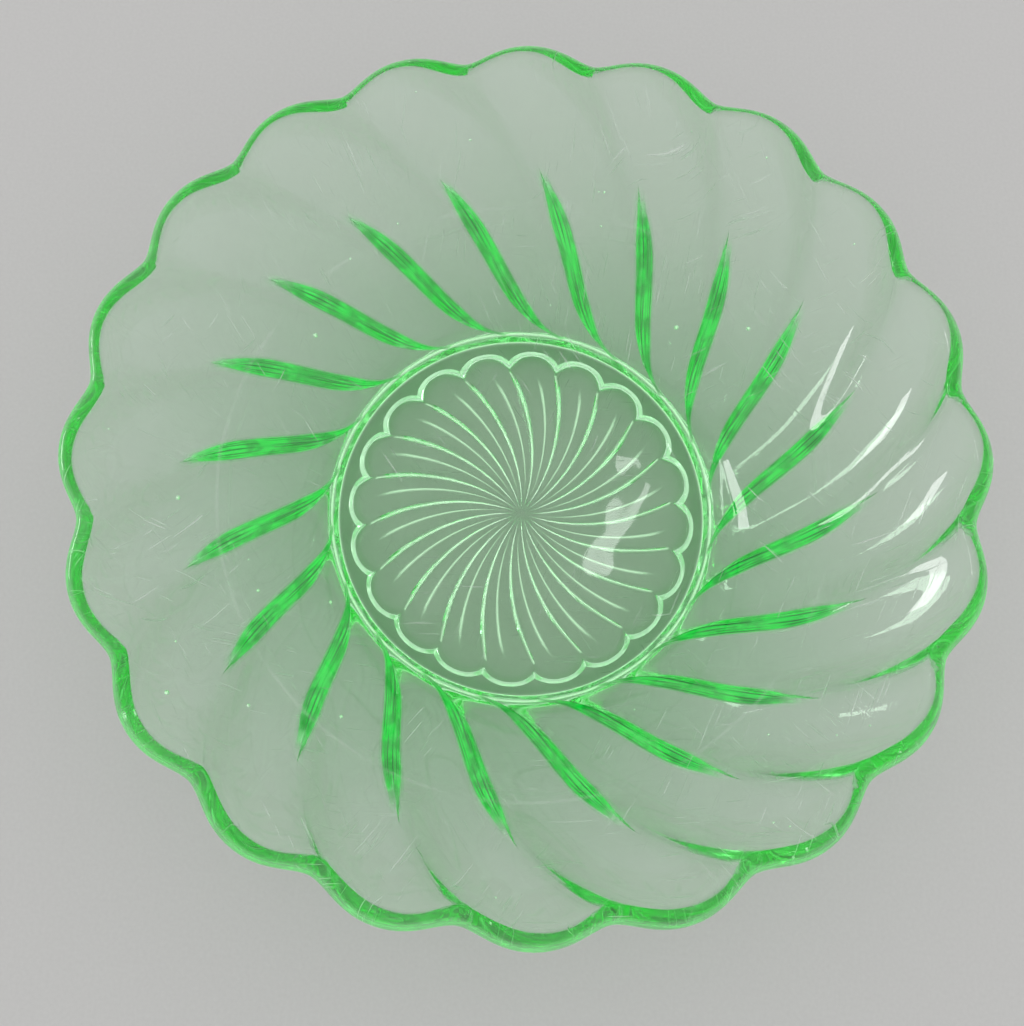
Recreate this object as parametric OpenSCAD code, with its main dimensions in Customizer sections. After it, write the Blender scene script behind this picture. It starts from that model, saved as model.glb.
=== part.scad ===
// Pressed glass dish: a flared bowl on a low round foot.
// Swirled convex flutes cover the outside of the wall and end in a scalloped rim.
// A star of swirled petals is pressed into the underside of the foot.
// Millimetres, +Z up. The origin is the centre of the foot, on the table.
// The dish is one piece of glass, so there is a single part.

/* [Size] */

// Outside diameter across opposite scallops of the rim
rim_diameter = 230; // [180:5:300]

// Height from the table to the top of the rim
bowl_height = 72; // [52:1:100]

// Diameter of the foot where it meets the table
foot_diameter = 117; // [90:1:145]

// Height of the plain foot below the flutes
foot_height = 5; // [4:0.5:8]

// How much wider the foot is at its top than at the table, on each side
foot_draft = 0.9; // [0:0.1:2]

// Width of the small ledge where the flutes overhang the foot
foot_ledge = 0.8; // [0.4:0.1:1.5]

/* [Wall] */

// Slope of the wall where it leaves the foot, in degrees from level
foot_slope = 80; // [60:1:86]

// How long the wall holds that slope before it spreads
foot_run = 11.5; // [6:0.5:16]

// Slope of the wall at the rim, in degrees from level
rim_slope = 70; // [50:1:84]

// How long the wall takes to come up to that slope
rim_run = 31; // [15:1:40]

/* [Glass] */

// Thickness of the wall, from the inside face to a flute crest
wall_thickness = 7.6; // [6.6:0.1:9.2]

// Thickness of the rim
rim_thickness = 5.2; // [4:0.1:7]

// Extra thickness of the wall close to the foot
foot_fill = 0.4; // [0:0.1:2]

// Thickness of the floor above the top of the foot
floor_thickness = 5.5; // [4.5:0.1:8]

// How far the floor rises from its middle to its edge
floor_dish = 1; // [0:0.1:1.5]

// Width of the curve that joins the floor to the wall
cove_width = 4.5; // [3:0.5:9]

/* [Flutes] */

// Number of flutes around the wall, and of petals in the star
flute_count = 20; // [12:1:24]

// How far the sides of a flute fall away from its crest, low on the wall
bulge_depth = 1.7; // [0.5:0.1:2]

// Depth of the scallops in the rim
scallop_depth = 4.2; // [1:0.1:6]

// How rounded the valleys between scallops are, as a share of half a flute
valley_round = 0.3; // [0.05:0.05:0.5]

// Depth of the sharp grooves between flutes, below the round of the flutes
groove_depth = 3; // [1:0.1:3.2]

// Slope of the sides of those grooves, in degrees from the face of the wall
groove_angle = 47; // [35:1:55]

// Height over which the grooves reach their full depth above the foot
groove_rise = 11; // [6:1:16]

// Height at which the grooves end
groove_top = 45; // [36:1:50]

// Height over which the grooves fade out below their end
groove_fade = 16; // [8:1:20]

// Turn of a flute from the foot to the rim, in degrees
flute_twist = 29; // [0:1:45]

// Extra turn of a flute where it curls into the foot, in degrees
foot_curl = 13; // [0:1:16]

// Height over which that curl dies away
curl_height = 6; // [4:0.5:12]

// How far the rim dips between scallops
rim_dip = 1; // [0:0.1:2]

/* [Star] */

// Width of the flat ring the dish stands on, outside the petal tips
standing_width = 4.5; // [3:0.1:12]

// Width of the sloped edge around the star
bevel_width = 2; // [1:0.1:3]

// Depth of that sloped edge
bevel_depth = 2.2; // [1:0.1:2.4]

// Width of the curve between the sloped edge and the petals
round_width = 3; // [1.5:0.5:5]

// Depth of the star where the petals start
star_depth = 3; // [2.4:0.1:3.6]

// Further rise of the star towards its middle
star_rise = 0.6; // [0:0.1:1]

// Depth of the creases between petals
crease_depth = 1.5; // [0.3:0.1:1.8]

// Depth of the notches between petal tips
notch_depth = 3.6; // [1:0.1:5]

// Turn of a petal from the middle to its tip, in degrees
star_twist = 25; // [0:1:60]

/* [Hidden] */

glass_colour = [0.62, 0.90, 0.60, 0.55];

// Each flute has a point on its crest, three more on its round, then the bottom of the groove,
// then the same again in mirror
round_steps = [0, 0.4, 0.78, 1];
half_steps = len(round_steps);
steps = 2 * half_steps;
sides = flute_count * steps;
pitch = 360 / flute_count;

rim_radius = rim_diameter / 2;
foot_radius = foot_diameter / 2;
floor_height = foot_height + floor_thickness;
star_radius = foot_radius - standing_width;

// Height of the rounded lip, and of its top above the outside edge of the rim
lip_height = 0.45 * rim_thickness;
lip_rise = rim_thickness * cos(rim_slope) / 2
    + norm([rim_thickness * cos(rim_slope) / 2, lip_height * sin(rim_slope)]);

// The wall springs from the foot and leans out to the rim, as a curve with four control points
wall_foot = [foot_radius + foot_draft + foot_ledge, foot_height];
wall_low = wall_foot + foot_run * [cos(foot_slope), sin(foot_slope)];
wall_top = [rim_radius, bowl_height - lip_rise];
wall_high = wall_top - rim_run * [cos(rim_slope), sin(rim_slope)];

function blend(a, b, t) = a + (b - a) * t;
function smooth(t) = t <= 0 ? 0 : t >= 1 ? 1 : t * t * (3 - 2 * t);

// A point on the wall, its direction, and the direction square to it towards the inside
function wall(t) =
    pow(1 - t, 3) * wall_foot
    + 3 * t * pow(1 - t, 2) * wall_low
    + 3 * t * t * (1 - t) * wall_high
    + pow(t, 3) * wall_top;
function slope(t) =
    pow(1 - t, 2) * (wall_low - wall_foot)
    + 2 * t * (1 - t) * (wall_high - wall_low)
    + t * t * (wall_top - wall_high);
function inward(t) = [-slope(t)[1], slope(t)[0]] / norm(slope(t));

// How far side k is across its flute: 0 on a crest, 1 in the groove and 2 on the next crest.
// The side of the groove starts at edge.
function station(k, edge) =
    let(i = k % steps)
    i < half_steps ? edge * round_steps[i]
    : i == half_steps ? 1
    : 2 - edge * round_steps[steps - i];
function side_angle(k, edge) = (floor(k / steps) + station(k, edge) / 2) * pitch;
function across(k, edge) = 1 - abs(1 - station(k, edge));

// Turn of the flutes at a height above the table
function turn(z) =
    flute_twist * (z - foot_height) / (bowl_height - foot_height)
    + foot_curl * (1 - exp((foot_height - z) / curl_height));

// A point at radius and height p on side k, turned by an angle
function spot(p, k, edge, angle) =
    let(a = side_angle(k, edge) + angle)
    [p[0] * cos(a), p[0] * sin(a), p[1]];

// Grooves are cut square to the wall low down and level at the rim
function push(t) = blend(inward(t), [-1, 0], smooth(t * 2 - 1));

// The round of a flute: across, with its valley softened, and how deep the valley is
function valley(t) = blend(0.03, valley_round, smooth((t - 0.4) / 0.35));
function softened(x, size) = 1 - (norm([1 - x, size]) - size) / (norm([1, size]) - size);
function bulge_at(t) =
    bulge_depth * smooth(t / 0.35)
    + (scallop_depth - bulge_depth) * smooth((t - 0.35) / 0.65);
function bulge(t, x) = bulge_at(t) * pow(max(0, softened(x, valley(t))), 2.1);

// The sharp groove: its depth, where its side starts, and its depth at a place across the flute
function half_pitch(t) = PI * wall(t)[0] / flute_count;
function cut(t) =
    groove_depth
    * (0.3 + 0.7 * smooth((wall(t)[1] - foot_height) / groove_rise))
    * smooth((groove_top - wall(t)[1]) / groove_fade);
function groove_edge(t) = 1 - max(0.08, cut(t) / tan(groove_angle) / half_pitch(t));
function sharp(t, x) = max(0, cut(t) - (1 - x) * half_pitch(t) * tan(groove_angle));

// The inside face follows the flutes only near the rim
inside_edge = 0.85;
function inside_bulge(t, x) = 0.94 * smooth((t - 0.45) / 0.3) * bulge(t, x);
function thickness(t) =
    blend(wall_thickness, rim_thickness, smooth((t - 0.3) / 0.7))
    + foot_fill * (1 - smooth(t / 0.38));
function dip(t, x) = [0, -rim_dip * x * x * smooth((t - 0.6) / 0.4)];

function outside(t, x) = wall(t) + push(t) * (bulge(t, x) + sharp(t, x)) + dip(t, x);
function inside(t, x) = wall(t) + inward(t) * thickness(t) + push(t) * inside_bulge(t, x) + dip(t, x);

// Round of the rim, from the outside at 0 degrees to the inside at 180
function lip(a, x) =
    wall(1)
    + inward(1) * rim_thickness / 2 * (1 - cos(a))
    + slope(1) / norm(slope(1)) * lip_height * sin(a)
    - [blend(bulge(1, x), inside_bulge(1, x), a / 180), 0]
    + dip(1, x);

// The inside curves from the wall into the flat floor
cove_top = 0.15;
cove_start = wall(cove_top) + inward(cove_top) * thickness(cove_top);
cove_drop = cove_start[1] - floor_height - floor_dish;
cove_bend = cove_start - [cove_drop * slope(cove_top)[0] / slope(cove_top)[1], cove_drop];
cove_end = [cove_bend[0] - cove_width, floor_height + floor_dish];
function cove(t) = pow(1 - t, 2) * cove_start + 2 * t * (1 - t) * cove_bend + t * t * cove_end;

// Rings of points from the foot up the outside, over the rim and down the inside
outside_stations = [0, 0.1, 0.2, 0.31, 0.43, 0.55, 0.67, 0.79, 0.9, 1];
lip_crown = atan2(lip_height * sin(rim_slope), -rim_thickness * cos(rim_slope) / 2);
lip_angles = [lip_crown / 2, lip_crown, (lip_crown + 180) / 2];
inside_stations = [1, 0.88, 0.74, 0.59, 0.43, 0.27, cove_top];
cove_stations = [0.35, 0.7, 1];
all_sides = [0:sides - 1];

function outside_ring(t) =
    let(edge = groove_edge(t), angle = turn(wall(t)[1]))
    [for (k = all_sides) spot(outside(t, across(k, edge)), k, edge, angle)];
function lip_ring(a) =
    let(edge = groove_edge(1), angle = turn(wall(1)[1]))
    [for (k = all_sides) spot(lip(a, across(k, edge)), k, edge, angle)];
function inside_ring(t) =
    let(angle = turn(wall(t)[1]))
    [for (k = all_sides) spot(inside(t, across(k, inside_edge)), k, inside_edge, angle)];
function cove_ring(t) =
    let(angle = turn(wall(cove_top)[1]))
    [for (k = all_sides) spot(cove(t), k, inside_edge, angle)];

bowl_rings = concat(
    [for (t = outside_stations) outside_ring(t)],
    [for (a = lip_angles) lip_ring(a)],
    [for (t = inside_stations) inside_ring(t)],
    [for (t = cove_stations) cove_ring(t)]
);

// Star petals: notched at the edge, with a sloped side, and creases that run to the middle
crease_edge = 0.86;
bevel_slope = bevel_depth / bevel_width;
function star_edge(x) = star_radius - notch_depth * pow(x, 2.2);
function star_crease(f, x) = crease_depth * x * x * f * min(1, 3.35 - 3 * f);
function petal_point(f, x) = [
    (star_edge(x) - bevel_width - round_width) * f,
    star_depth + star_rise * (1 - f * f) + star_crease(f, x)
];
function bevel_point(z, x) = [star_edge(x) - z / bevel_slope, z];
function round_point(x) = [
    star_edge(x) - bevel_width - round_width / 2,
    bevel_depth + 0.75 * (star_depth - bevel_depth)
];
petal_stations = [1, 0.78, 0.55, 0.3, 0.1];

star_rings = concat(
    [for (z = [-1, bevel_depth]) [for (k = all_sides)
        spot(bevel_point(z, across(k, crease_edge)), k, crease_edge, 0)]],
    [[for (k = all_sides) spot(round_point(across(k, crease_edge)), k, crease_edge, 0)]],
    [for (f = petal_stations) [for (k = all_sides)
        spot(petal_point(f, across(k, crease_edge)), k, crease_edge, star_twist * (f - 1))]]
);

// Joins a stack of closed rings, each with the same number of points, and caps both ends
module skin(rings, bottom, top) {
    count = len(rings);
    points = concat([for (ring = rings) for (p = ring) p], [bottom, top]);
    faces = concat(
        [for (k = all_sides) [count * sides, k, (k + 1) % sides]],
        [for (i = [0:count - 2]) for (k = all_sides)
            [i * sides + k, (i + 1) * sides + k, (i + 1) * sides + (k + 1) % sides]],
        [for (i = [0:count - 2]) for (k = all_sides)
            [i * sides + k, (i + 1) * sides + (k + 1) % sides, i * sides + (k + 1) % sides]],
        [for (k = all_sides)
            [count * sides + 1, (count - 1) * sides + (k + 1) % sides, (count - 1) * sides + k]]
    );
    polyhedron(points = points, faces = faces, convexity = 10);
}

// The fluted wall and the floor above the foot
module bowl() {
    skin(bowl_rings, [0, 0, foot_height], [0, 0, floor_height]);
}

// The plain foot, running a little way up into the floor
module foot() {
    cylinder(h = foot_height, r1 = foot_radius, r2 = foot_radius + foot_draft, $fn = 160);
    cylinder(h = foot_height + floor_thickness / 2, r = foot_radius - 1, $fn = 160);
}

// The hollow of the star, cut into the underside
module star() {
    skin(star_rings, [0, 0, -1], [0, 0, star_depth + star_rise]);
}

module dish() {
    color(glass_colour)
    difference() {
        union() {
            bowl();
            foot();
        }
        star();
    }
}

dish();
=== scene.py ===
"""A pressed green glass dish: swirled flutes, a scalloped rim and a star under its foot.

The glass is one closed mesh, built in rings with the same formulas as the CAD part but far finer.
"""

import math

import bpy
import numpy as np
from mathutils import Euler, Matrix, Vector


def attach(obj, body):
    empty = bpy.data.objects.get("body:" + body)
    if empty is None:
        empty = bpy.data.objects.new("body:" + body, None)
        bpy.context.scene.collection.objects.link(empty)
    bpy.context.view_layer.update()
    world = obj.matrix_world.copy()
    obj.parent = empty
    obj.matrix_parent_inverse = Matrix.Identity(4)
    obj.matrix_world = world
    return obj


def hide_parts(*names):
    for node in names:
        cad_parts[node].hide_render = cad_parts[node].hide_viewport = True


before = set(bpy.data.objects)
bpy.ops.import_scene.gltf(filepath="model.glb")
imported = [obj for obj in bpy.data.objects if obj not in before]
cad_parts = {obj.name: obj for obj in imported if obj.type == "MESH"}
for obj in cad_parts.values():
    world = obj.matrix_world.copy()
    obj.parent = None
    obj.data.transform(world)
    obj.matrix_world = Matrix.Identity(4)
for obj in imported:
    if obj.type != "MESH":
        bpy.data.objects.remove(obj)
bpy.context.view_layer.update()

# ---------------------------------------------------------------- sizes, millimetres and degrees
RIM_R = 115.0
HEIGHT = 72.0
FOOT_R = 58.5
FOOT_H = 5.0
FOOT_DRAFT = 0.9
LEDGE = 0.8

FOOT_SLOPE, FOOT_RUN = 80.0, 11.5
RIM_SLOPE, RIM_RUN = 70.0, 31.0
WALL_T = 7.6
RIM_T = 5.2
FOOT_FILL = 0.4
FLOOR_Z = 10.5
FLOOR_DISH = 1.0
COVE_W = 4.5
COVE_T = 0.15  # where on the wall the curve into the floor starts

FLUTES = 20
BULGE = 1.7
SCALLOP = 4.2
VALLEY_ROUND = 0.3
GROOVE, GROOVE_ANGLE = 3.0, 47.0
GROOVE_RISE, GROOVE_TOP, GROOVE_FADE = 11.0, 45.0, 16.0
TWIST = 29.0
CURL, CURL_H = 13.0, 6.0
RIM_DIP = 1.0

STAND_W = 4.5
BEVEL_W, BEVEL_D = 2.0, 2.2
ROUND_W = 3.0
STAR_D, STAR_RISE = 3.0, 0.6
CREASE, NOTCH = 1.5, 3.6
STAR_TWIST = 25.0
CREASE_V = 0.6  # sharp bottom of a crease between petals
RIDGE_V = 0.55  # fine line along the middle of a petal

INSIDE_SHARE = 0.94  # how far the inside of the rim follows the flutes outside
LIP_SHARE = 0.45  # height of the round of the rim, as a share of its thickness
WEAR_R = 84.0  # faint rubbed ring round the wall
INSET = 0.2  # keeps the smooth surface inside the faceted CAD one
MM = 0.001

# ---------------------------------------------------------------- curves
PITCH = 360 / FLUTES
SLANT = math.tan(math.radians(GROOVE_ANGLE))
BODY_STEPS = 11
SIDE_STEPS = (0.0, 0.12, 0.4, 0.72, 0.93, 1.0)
CORNER = 0.012  # keeps the edge of a groove crisp


def smooth(t):
    t = np.clip(t, 0.0, 1.0)
    return t * t * (3 - 2 * t)


def blend(a, b, t):
    return a + (b - a) * t


def bearing(deg):
    return np.array([math.cos(math.radians(deg)), math.sin(math.radians(deg))])


c, s = bearing(RIM_SLOPE)
LIP_RISE = RIM_T * (c + math.hypot(c, 2 * LIP_SHARE * s)) / 2
P0 = np.array([FOOT_R + FOOT_DRAFT + LEDGE, FOOT_H])
P1 = P0 + FOOT_RUN * bearing(FOOT_SLOPE)
P3 = np.array([RIM_R, HEIGHT - LIP_RISE])
P2 = P3 - RIM_RUN * bearing(RIM_SLOPE)


def wall(t):
    """Radius and height of the outside of the wall, along a flute's crest."""
    return (1 - t) ** 3 * P0 + 3 * t * (1 - t) ** 2 * P1 + 3 * t * t * (1 - t) * P2 + t**3 * P3


def slope(t):
    d = (1 - t) ** 2 * (P1 - P0) + 2 * t * (1 - t) * (P2 - P1) + t * t * (P3 - P2)
    return d / np.hypot(*d)


def inward(t):
    d = slope(t)
    return np.array([-d[1], d[0]])


def turn(z):
    """Turn of the flutes at a height, in degrees."""
    return TWIST * (z - FOOT_H) / (HEIGHT - FOOT_H) + CURL * (1 - math.exp((FOOT_H - z) / CURL_H))


def push(t):
    """Direction in which the flutes are cut: square to the wall low down, level at the rim."""
    return blend(inward(t), np.array([-1.0, 0.0]), smooth(t * 2 - 1))


def half_pitch(t):
    return math.pi * wall(t)[0] / FLUTES


def cut(t):
    """Depth of the sharp groove below the round of the flutes."""
    z = wall(t)[1]
    rise = 0.3 + 0.7 * smooth((z - FOOT_H) / GROOVE_RISE)
    return GROOVE * rise * smooth((GROOVE_TOP - z) / GROOVE_FADE)


def groove_edge(t):
    """Where the side of the groove starts, from 0 on a crest to 1 in the groove."""
    return 1 - max(cut(t) / SLANT / half_pitch(t), 0.08)


def softened(across, t):
    """Rounds the bottom of the valley between flutes, more towards the rim."""
    size = blend(0.03, VALLEY_ROUND, smooth((t - 0.4) / 0.35))
    x = 1 - (np.sqrt((1 - across) ** 2 + size**2) - size) / (math.hypot(1, size) - size)
    return np.clip(x, 0, 1)


def bulge(t, across):
    """How far the round of a flute falls away from its crest."""
    depth = BULGE * smooth(t / 0.35) + (SCALLOP - BULGE) * smooth((t - 0.35) / 0.65)
    return depth * softened(across, t) ** 2.1


def inside_bulge(t, across):
    return INSIDE_SHARE * smooth((t - 0.45) / 0.3) * bulge(t, across)


def sharp(t, across):
    return np.clip(cut(t) - (1 - across) * half_pitch(t) * SLANT, 0, None)


def dip(t, across):
    return -RIM_DIP * across**2 * smooth((t - 0.6) / 0.4)


def thickness(t):
    return blend(WALL_T, RIM_T, smooth((t - 0.3) / 0.7)) + FOOT_FILL * (1 - smooth(t / 0.38))


# ---------------------------------------------------------------- rings
# A ring is an array with one row for each side: x, y, z in millimetres, then three marks.
# The glow mark gives the faces painted with a green tint and glow, in place of the light that the glass
# gathers there; the frost mark the lines painted pale, partly as wear and partly as painted highlights;
# and lane how far a point is down the side of its groove.


def around(edge=0.8):
    """Angle of every side and how far it is across its flute, for a groove side starting at edge."""
    body = np.linspace(0, 1, BODY_STEPS) ** 0.9 * (edge - CORNER)
    side = edge + (1 - edge) * np.array(SIDE_STEPS)
    half = np.concatenate([body[:-1], side[:1] - CORNER, side])
    full = np.concatenate([half, (2 - half[::-1])[1:-1]])
    angle = np.concatenate([(i + full / 2) * PITCH for i in range(FLUTES)])
    return angle, np.tile(1 - np.abs(1 - full), FLUTES)


EVEN_ANGLE = around()[0]
STAR_ANGLE, STAR_ACROSS = around(0.88)
SIDES = len(EVEN_ANGLE)


def ring(r, z, turned=0.0, angle=EVEN_ANGLE, painted_glow=0.0, frost_and_highlight=0.0, lane=0.0):
    phi = np.radians(angle + turned)
    r, z, painted_glow, frost_and_highlight, lane = (np.broadcast_to(v, phi.shape) for v in (r, z, painted_glow, frost_and_highlight, lane))
    return np.stack([r * np.cos(phi), r * np.sin(phi), z, painted_glow, frost_and_highlight, lane], 1)


def outside_ring(t):
    angle, across = around(groove_edge(t))
    p, d = wall(t), push(t)
    g = bulge(t, across) + sharp(t, across)
    # painted green glow on the sides of the grooves, in place of the light gathered there; a pale line
    # at the foot of the wall, partly wear and partly painted highlight
    painted_glow = smooth(cut(t) / GROOVE * 1.6) * smooth((across - groove_edge(t) + 0.03) / 0.05)
    frost_and_highlight = 0.7 * (1 - smooth(t / 0.02))
    lane = (across - groove_edge(t)) / (1 - groove_edge(t))
    z = p[1] + d[1] * g + dip(t, across)
    return ring(p[0] + d[0] * g - INSET, z, turn(p[1]), angle, painted_glow, frost_and_highlight, lane)


def inside_ring(t):
    angle, across = around()
    p, d, g = wall(t) + inward(t) * thickness(t), push(t), inside_bulge(t, across)
    return ring(p[0] + d[0] * g, p[1] + d[1] * g + dip(t, across), turn(wall(t)[1]), angle)


def lip_ring(deg):
    """The round of the rim, from the outside at 0 degrees to the inside at 180."""
    angle, across = around(groove_edge(1))
    x = math.radians(deg)
    p = wall(1) + inward(1) * RIM_T / 2 * (1 - math.cos(x)) + slope(1) * RIM_T * LIP_SHARE * math.sin(x)
    g = blend(bulge(1, across), inside_bulge(1, across), deg / 180)
    # painted green glow round the rim, in place of the light gathered in the lip
    painted_glow = 0.45 * math.sin(math.radians(min(deg, 100) * 1.8))
    z = p[1] + dip(1, across) - INSET
    return ring(p[0] - g - INSET, z, turn(wall(1)[1]), angle, painted_glow, lane=deg / 60)


def cove_ring(t):
    """The curve from the wall into the floor."""
    start = wall(COVE_T) + inward(COVE_T) * thickness(COVE_T)
    drop = start[1] - FLOOR_Z - FLOOR_DISH
    bend = start - np.array([drop * slope(COVE_T)[0] / slope(COVE_T)[1], drop])
    end = np.array([bend[0] - COVE_W, FLOOR_Z + FLOOR_DISH])
    p = (1 - t) ** 2 * start + 2 * t * (1 - t) * bend + t * t * end
    return ring(p[0], p[1], turn(wall(COVE_T)[1]))


def floor_ring(f):
    edge = np.hypot(*cove_ring(1)[0, :2])
    return ring(edge * f, FLOOR_Z + FLOOR_DISH * f * f, turn(wall(COVE_T)[1]))


STAR_EDGE = FOOT_R - STAND_W - NOTCH * STAR_ACROSS**2.2


def petal_ring(f):
    """The star, from its middle at 0 to the ends of the petals at 1."""
    x = STAR_ACROSS
    round_part = CREASE * x**2 * f * min(1.0, 3.35 - 3 * f)
    valley = np.clip((x - 0.88) / 0.12, 0, 1) * smooth(f / 0.45) * smooth((1.06 - f) / 0.15)
    ridge = np.clip(1 - x / 0.08, 0, 1) * smooth(f / 0.35) * smooth((0.9 - f) / 0.1)
    z = STAR_D + STAR_RISE * (1 - f * f) + round_part + CREASE_V * valley + RIDGE_V * ridge
    # pale lines on the creases and the middle of each petal, partly wear and partly painted highlight
    frost_and_highlight = np.maximum(np.clip(x * 16 - 15, 0, 1) * smooth(f / 0.2), ridge) * smooth((f - 0.06) / 0.1)
    return ring((STAR_EDGE - BEVEL_W - ROUND_W) * f, z, STAR_TWIST * (f - 1), STAR_ANGLE, frost_and_highlight=frost_and_highlight)


def round_ring(t):
    """Down from the petals at 0 to the sloped edge at 1."""
    z = STAR_D + (BEVEL_D - STAR_D) * t**2 + (0.35 * CREASE * STAR_ACROSS**2) * (1 - t)
    return ring(STAR_EDGE - BEVEL_W - ROUND_W * (1 - t), z, 0, STAR_ANGLE)


def bevel_ring(t):
    """The sloped edge of the star, from its top at 0 to the standing face at 1."""
    # the sloped edge of the star is painted with a faint green glow and a pale highlight band
    return ring(STAR_EDGE - BEVEL_W * (1 - t), BEVEL_D * (1 - t), 0, STAR_ANGLE, painted_glow=0.25, frost_and_highlight=0.25)


def rounded(p0, p1, p2, size, count):
    """Points of a small round at p1, the corner between p0 and p2."""
    p0, p1, p2 = (np.array(p, float) for p in (p0, p1, p2))
    q0 = p1 + (p0 - p1) / np.hypot(*(p0 - p1)) * size
    q2 = p1 + (p2 - p1) / np.hypot(*(p2 - p1)) * size
    return [(1 - t) ** 2 * q0 + 2 * t * (1 - t) * p1 + t * t * q2 for t in np.linspace(0, 1, count)]


def foot_rings():
    foot_low, foot_top = (FOOT_R, 0), (FOOT_R + FOOT_DRAFT, FOOT_H)
    ledge = (FOOT_R + FOOT_DRAFT + LEDGE, FOOT_H)
    path = rounded((FOOT_R - 5, 0), foot_low, foot_top, 0.6, 5)
    # pale lines painted on the rounds of the foot and the ledge, partly wear and partly painted
    # highlight
    pale_lines = [0, 0.5, 0.9, 0.5, 0]
    path += rounded(foot_low, foot_top, ledge, 0.3, 4)
    path += rounded(foot_top, ledge, P1, 0.3, 4)[:-1]
    pale_lines += [0, 0.2, 0.6, 0.8, 0.9, 0.9, 0.9]
    return [ring(r, z, frost_and_highlight=w) for (r, z), w in zip(path, pale_lines)]


def dish_rings():
    """All rings in order: star, foot, outside, lip, inside and floor."""
    rings = [petal_ring(f) for f in (0.03, 0.06, *np.linspace(0.1, 1.0, 22))]
    rings += [round_ring(t) for t in (0.2, 0.4, 0.6, 0.8, 0.96)]
    rings += [bevel_ring(t) for t in (0.03, 0.3, 0.65, 0.9, 0.97)]
    rings += [ring(STAR_EDGE + 0.1, 0.03, 0, STAR_ANGLE), ring(STAR_EDGE + 0.3, 0, 0, STAR_ANGLE)]
    rings += [ring((STAR_EDGE + FOOT_R) / 2, 0, 0, STAR_ANGLE)]
    rings += foot_rings()
    rings += [outside_ring(t) for t in np.linspace(0.012, 1, 50)]
    rings += [lip_ring(deg) for deg in np.linspace(0, 180, 13)[1:-1]]
    rings += [inside_ring(t) for t in np.linspace(1, COVE_T, 26)]
    rings += [cove_ring(t) for t in np.linspace(0, 1, 9)[1:]]
    return rings + [floor_ring(f) for f in (0.93, 0.8, 0.6, 0.4, 0.2, 0.08)]


def skin(rings):
    """Points, columns of marks and faces of the closed surface through the rings."""
    count = len(rings)
    ends = np.array([[0, 0, STAR_D + STAR_RISE, 0, 0, 0], [0, 0, FLOOR_Z, 0, 0, 0]])
    table = np.concatenate(rings + [ends])
    k = np.arange(SIDES)
    n = (k + 1) % SIDES
    quads = []
    for i in range(count - 1):
        low, high = i * SIDES, (i + 1) * SIDES
        quads.append(np.stack([low + k, low + n, high + n, high + k], 1))
    faces = np.concatenate(quads).tolist()
    last = (count - 1) * SIDES
    faces += np.stack([np.full(SIDES, count * SIDES), n, k], 1).tolist()
    faces += np.stack([np.full(SIDES, count * SIDES + 1), last + k, last + n], 1).tolist()
    return table, faces


# ---------------------------------------------------------------- seeds, the small bubbles in the glass
SEEDS = 34
SEED_ORDER = 7  # random seed for their places
SEED_ROUND, SEED_RINGS = 10, 6


def bubble(centre, radius, first):
    """Points and faces of a small closed sphere that faces its own middle."""
    angle = np.arange(SEED_ROUND) * 2 * math.pi / SEED_ROUND
    points = [centre + (0, 0, radius), centre - (0, 0, radius)]
    for i in range(1, SEED_RINGS):
        tilt = math.pi * i / SEED_RINGS
        for a in angle:
            unit = (math.sin(tilt) * math.cos(a), math.sin(tilt) * math.sin(a), math.cos(tilt))
            points.append(centre + radius * np.array(unit))
    faces = []
    for j in range(SEED_ROUND):
        k = (j + 1) % SEED_ROUND
        last = 2 + (SEED_RINGS - 2) * SEED_ROUND
        faces.append((first, first + 2 + k, first + 2 + j))
        faces.append((first + 1, first + last + j, first + last + k))
        for i in range(SEED_RINGS - 2):
            low, high = first + 2 + i * SEED_ROUND, first + 2 + (i + 1) * SEED_ROUND
            faces.append((low + j, low + k, high + k, high + j))
    return points, faces


def seed_bubbles(first):
    rng = np.random.default_rng(SEED_ORDER)
    points, faces = [], []
    for i in range(SEEDS):
        t = rng.uniform(0.2, 0.95)
        p = wall(t) + inward(t) * thickness(t) * rng.uniform(0.55, 0.75)
        flute = rng.integers(FLUTES)
        phi = math.radians((flute + rng.uniform(-0.22, 0.22)) * PITCH + turn(wall(t)[1]))
        centre = np.array([p[0] * math.cos(phi), p[0] * math.sin(phi), p[1]])
        radius = rng.uniform(0.18, 0.34) if i % 4 else rng.uniform(0.45, 0.7)
        more_points, more_faces = bubble(centre, radius, first + len(points))
        points += more_points
        faces += more_faces
    return np.array(points), faces


def make_dish():
    table, faces = skin(dish_rings())
    seed_points, seed_faces = seed_bubbles(len(table))
    # the seeds are painted pale with a faint pale glow, a painted highlight in place of the light they
    # catch
    marks = np.concatenate([table[:, 3:], np.tile([0, 0.35, 0], (len(seed_points), 1))])
    points = np.concatenate([table[:, :3], seed_points]) * MM
    mesh = bpy.data.meshes.new("dish_glass")
    mesh.from_pydata(points.tolist(), [], faces + seed_faces)
    mesh.update()
    for i, name in enumerate(("painted_glow", "frost_and_highlight", "lane")):
        layer = mesh.attributes.new(name, "FLOAT", "POINT")
        layer.data.foreach_set("value", np.ascontiguousarray(marks[:, i]))
    mesh.polygons.foreach_set("use_smooth", [True] * len(mesh.polygons))
    dish = bpy.data.objects.new("dish_glass", mesh)
    bpy.context.scene.collection.objects.link(dish)
    return dish


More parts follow.
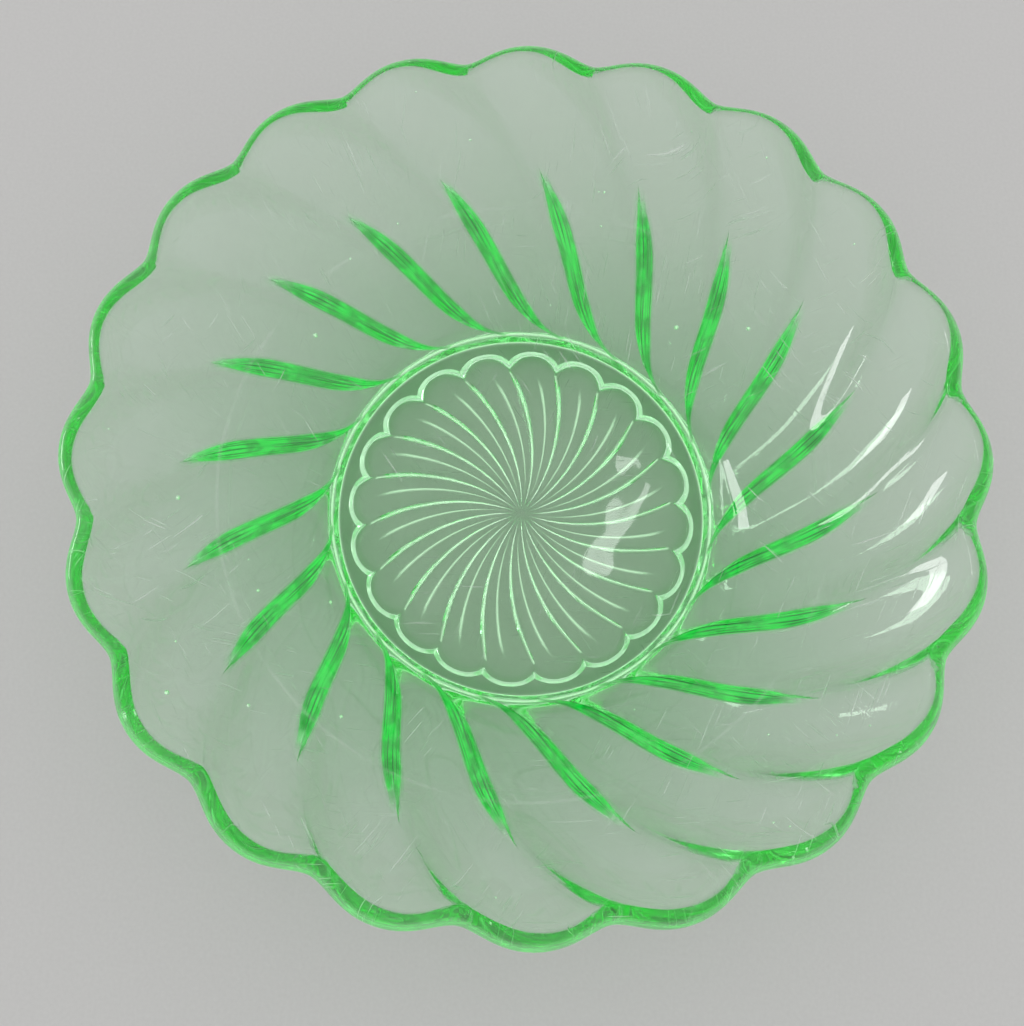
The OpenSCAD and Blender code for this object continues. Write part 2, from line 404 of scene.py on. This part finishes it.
# ---------------------------------------------------------------- glass
class Tree:
    """Short calls for making a material's nodes."""

    def __init__(self, material):
        material.use_nodes = True
        self.nodes, self.links = material.node_tree.nodes, material.node_tree.links

    def add(self, kind, inputs=(), **settings):
        """A node of a kind, with settings and inputs, each a value or another node's output."""
        node = self.nodes.new("ShaderNode" + kind)
        for name, value in settings.items():
            setattr(node, name, value)
        for name, value in dict(inputs).items():
            self.put(node.inputs[name], value)
        return node

    def put(self, socket, value):
        if isinstance(value, bpy.types.NodeSocket):
            self.links.new(value, socket)
        else:
            socket.default_value = value

    def math(self, operation, a, b=0.0):
        return self.add("Math", {0: a, 1: b}, operation=operation).outputs[0]

    def ramp(self, value, low, high, out_low=0.0, out_high=1.0):
        """Value from low..high to out_low..out_high, with soft ends."""
        inputs = {"Value": value, "From Min": low, "From Max": high}
        inputs.update({"To Min": out_low, "To Max": out_high})
        return self.add("MapRange", inputs, interpolation_type="SMOOTHSTEP").outputs[0]

    def noise(self, place, scale, detail=2.0):
        return self.add("TexNoise", {"Vector": place, "Scale": scale, "Detail": detail}).outputs["Fac"]

    def mark(self, name):
        return self.add("Attribute", attribute_name=name).outputs["Fac"]

    def mix(self, share, a, b):
        node = self.add("Mix", data_type="RGBA")
        for socket, value in zip((node.inputs[0], node.inputs[6], node.inputs[7]), (share, a, b)):
            self.put(socket, value)
        return node.outputs[2]


def scratches(tree, place, angle, seed):
    """Short fine scratches that run one way, in patches."""
    inputs = {"Vector": place, "Rotation": (0.3, 0.2, angle), "Location": (seed, 0, 0)}
    turned = tree.add("Mapping", inputs)
    streak = tree.add("Mapping", {"Vector": turned.outputs[0], "Scale": (2200, 60, 60)})
    line = tree.ramp(tree.noise(streak.outputs[0], 1.0, 1.0), 0.70, 0.76)
    patch = tree.ramp(tree.noise(turned.outputs[0], 22.0), 0.42, 0.62)
    return tree.math("MULTIPLY", line, patch)


def green_glass():
    material = bpy.data.materials.new("green_glass")
    tree = Tree(material)
    shader = tree.nodes["Principled BSDF"]
    place = tree.add("TexCoord").outputs["Object"]
    painted_glow, frost_and_highlight = tree.mark("painted_glow"), tree.mark("frost_and_highlight")

    # scratches three ways, a rubbed ring and a thin haze make the glass pale
    pale_lines = scratches(tree, place, 0.4, 0.0)
    for angle, seed in ((1.5, 0.7), (2.5, 1.9)):
        pale_lines = tree.math("MAXIMUM", pale_lines, scratches(tree, place, angle, seed))
    flat = tree.add("VectorMath", {0: place, 1: (1, 1, 0)}, operation="MULTIPLY").outputs[0]
    height = tree.add("SeparateXYZ", {0: place}).outputs["Z"]
    radius = tree.add("VectorMath", {0: flat}, operation="LENGTH").outputs["Value"]
    off = tree.math("ABSOLUTE", tree.math("SUBTRACT", radius, WEAR_R * MM))
    patch = tree.ramp(tree.noise(place, 30.0), 0.4, 0.6)
    rubbed = tree.math("MULTIPLY", tree.ramp(off, 0.0007, 0.0), patch)
    haze = tree.ramp(tree.noise(place, 55.0, 6.0), 0.35, 0.8, 0.0, 0.05)
    marked = tree.math("MAXIMUM", pale_lines, tree.math("MULTIPLY", rubbed, 0.4))
    pale = tree.math("MULTIPLY", marked, 0.3)
    # the frost lines add to the pale: partly wear, partly painted highlight
    pale = tree.math("ADD", tree.math("MAXIMUM", pale, tree.math("MULTIPLY", frost_and_highlight, 0.5)), haze)

    # painted light: a green tint and glow painted on the grooves and the rim, in place of the light the
    # glass gathers there, with dark lines along it
    run = tree.math("MULTIPLY", height, 9.0)
    along = tree.add("CombineXYZ", {0: tree.mark("lane"), 1: run}).outputs[0]
    lines = tree.ramp(tree.noise(along, 8.0, 3.0), 0.36, 0.5)
    cloud = tree.ramp(tree.noise(place, 170.0, 3.0), 0.35, 0.6, 0.45, 1.0)
    streak = tree.math("MULTIPLY", lines, cloud)
    green = tree.mix(streak, (0.0, 0.2, 0.02, 1), (0.004, 0.7, 0.05, 1))
    tree.put(shader.inputs["Base Color"], tree.mix(painted_glow, (0.96, 1.0, 0.96, 1), green))
    solid = tree.math("ADD", pale, tree.math("MULTIPLY", painted_glow, 0.8))
    tree.put(shader.inputs["Transmission Weight"], tree.math("SUBTRACT", 1.0, solid))
    tree.put(shader.inputs["Roughness"], tree.ramp(pale, 0.0, 0.5, 0.015, 0.25))
    # painted glow: a faint green glow over all the glass, strong on the grooves and rim, and pale
    # painted highlights on the frost lines
    painted_glow_share = tree.math("MULTIPLY", painted_glow, streak)
    painted_glow_and_highlight = tree.mix(painted_glow_share, (0.0004, 0.004, 0.0008, 1), (0.001, 0.33, 0.03, 1))
    painted_glow_and_highlight = tree.mix(frost_and_highlight, painted_glow_and_highlight, (0.4, 0.55, 0.4, 1))
    tree.put(shader.inputs["Emission Color"], painted_glow_and_highlight)
    shader.inputs["Emission Strength"].default_value = 1.0
    shader.inputs["IOR"].default_value = 1.51

    # slow waves of the pressed surface, and the fine scratches
    ripple = tree.noise(place, 45.0, 1.0)
    wave = tree.add("Bump", {"Height": ripple, "Distance": 0.0004, "Strength": 0.5}).outputs[0]
    inputs = {"Height": pale_lines, "Distance": 0.00003, "Strength": 0.6, "Normal": wave}
    fine = tree.add("Bump", inputs)
    tree.put(shader.inputs["Normal"], fine.outputs[0])

    # the glass itself is green through its thickness
    volume = tree.add("VolumeAbsorption", {"Color": (0.04, 0.97, 0.18, 1), "Density": 21.0})
    tree.put(tree.nodes["Material Output"].inputs["Volume"], volume.outputs[0])
    material.cycles.emission_sampling = "NONE"
    return material


dish = make_dish()
dish.data.materials.append(green_glass())
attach(dish, "root")
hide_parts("dish")


# ---------------------------------------------------------------- floor, light, camera
def paper_floor():
    mesh = bpy.data.meshes.new("floor")
    mesh.from_pydata([(-4, -4, 0), (4, -4, 0), (4, 4, 0), (-4, 4, 0)], [], [(0, 1, 2, 3)])
    floor = bpy.data.objects.new("floor", mesh)
    floor.location.z = -0.0003
    bpy.context.scene.collection.objects.link(floor)
    paper = bpy.data.materials.new("paper")
    tree = Tree(paper)
    place = tree.add("TexCoord").outputs["Object"]
    grain = tree.noise(place, 900.0, 3.0)
    shader = tree.nodes["Principled BSDF"]
    tree.put(shader.inputs["Base Color"], tree.mix(grain, (0.57, 0.56, 0.55, 1), (0.63, 0.62, 0.61, 1)))
    tree.put(shader.inputs["Roughness"], 0.8)
    mesh.materials.append(paper)


def sky():
    """Soft light from all round, a little weaker at the horizon."""
    world = bpy.data.worlds.new("studio")
    bpy.context.scene.world = world
    tree = Tree(world)
    up = tree.add("SeparateXYZ", {0: tree.add("TexCoord").outputs["Generated"]}).outputs["Z"]
    background = tree.nodes["Background"]
    colour = tree.mix(tree.ramp(up, 0.0, 0.8), (0.85, 0.87, 0.9, 1), (1, 1, 1, 1))
    tree.put(background.inputs["Color"], colour)
    tree.put(background.inputs["Strength"], 0.9)


def softbox(name, place, aim, size, power):
    data = bpy.data.lights.new(name, "AREA")
    data.shape = "RECTANGLE"
    data.size, data.size_y = size
    data.energy = power
    lamp = bpy.data.objects.new(name, data)
    lamp.location = place
    direction = Vector(aim) - Vector(place)
    lamp.rotation_euler = direction.to_track_quat("-Z", "Y").to_euler()
    lamp.visible_diffuse = False  # hidden from diffuse rays, so it mostly makes highlights
    bpy.context.scene.collection.objects.link(lamp)


def place_camera():
    data = bpy.data.cameras.new("camera")
    camera = bpy.data.objects.new("camera", data)
    bpy.context.scene.collection.objects.link(camera)
    data.sensor_width = 36
    data.lens = 36.9
    camera.location = (-0.0069, -0.0760, 0.3171)
    camera.rotation_euler = Euler([math.radians(x) for x in (13.60, -1.84, 4.55)], "XYZ")
    bpy.context.scene.camera = camera


paper_floor()
sky()
softbox("window", (-1.1, 0.15, 0.36), (0, 0, 0.03), (0.4, 0.16), 1.6)
softbox("lamp", (0.094, 0.245, 1.0), (0, 0, 0), (0.009, 0.085), 0.014)
place_camera()

scene = bpy.context.scene
scene.view_settings.view_transform = "Standard"
scene.cycles.max_bounces = 32
scene.cycles.transmission_bounces = 32
scene.cycles.glossy_bounces = 16
